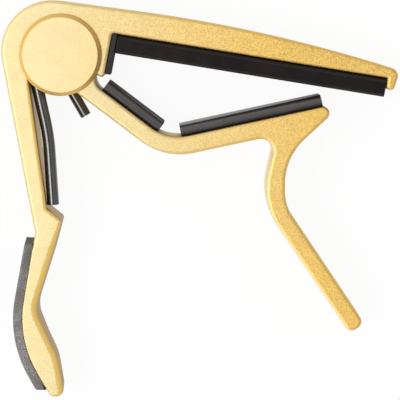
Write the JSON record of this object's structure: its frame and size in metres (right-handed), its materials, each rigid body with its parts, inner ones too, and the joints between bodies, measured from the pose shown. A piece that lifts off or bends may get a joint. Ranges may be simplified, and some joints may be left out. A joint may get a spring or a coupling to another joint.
{
  "type": "guitar capo",
  "caption": "Sprung trigger capo: a padded string arm with a handle, and a bent padded jaw with a trigger that turns on a capped hub and closes on a guitar's neck.",
  "frame": {"origin": "on the pivot axis, at the outer face of the rear cap that the capo lies on", "axes": "+Z along the pivot, out of the front cap; +X from the hub towards the string arm's tip; -Y from the hub down the handle"},
  "size_m": [0.0876, 0.0884, 0.0154],
  "materials": {
    "gold_casting": "satin gold with a fine metallic grain",
    "gold_cap": "satin gold, finely turned",
    "pin_steel": "plain turned steel",
    "spring_steel": "drawn spring wire",
    "arbor_plastic": "moulded, matt black",
    "sleeve_plastic": "glossy black tube",
    "pad_rubber": "matt black rubber",
    "grip_foam": "grey speckled foam rubber"
  },
  "bodies": {
    "upper": {"upper_body": "gold_casting", "string_pad": "pad_rubber", "edge_pad": "pad_rubber", "handle_grip": "grip_foam", "long_spring_sleeve": "sleeve_plastic", "torsion_spring": "spring_steel"},
    "jaw": {"lower_jaw": "gold_casting", "front_cap": "gold_cap", "rear_cap": "gold_cap", "pivot_pin": "pin_steel", "spring_arbor": "arbor_plastic", "long_neck_pad": "pad_rubber", "short_neck_pad": "pad_rubber", "short_spring_sleeve": "sleeve_plastic"}
  },
  "joints": [
    {"name": "jaw_hinge", "type": "hinge", "parent": "upper", "child": "jaw", "pos_m": [0, 0, 0.0077], "axis": [0, 0, -1], "range_deg": [0, 32], "stiffness_Nm_per_rad": 0.9, "springref_deg": -68.75, "deforming": ["torsion_spring"]}
  ]
}
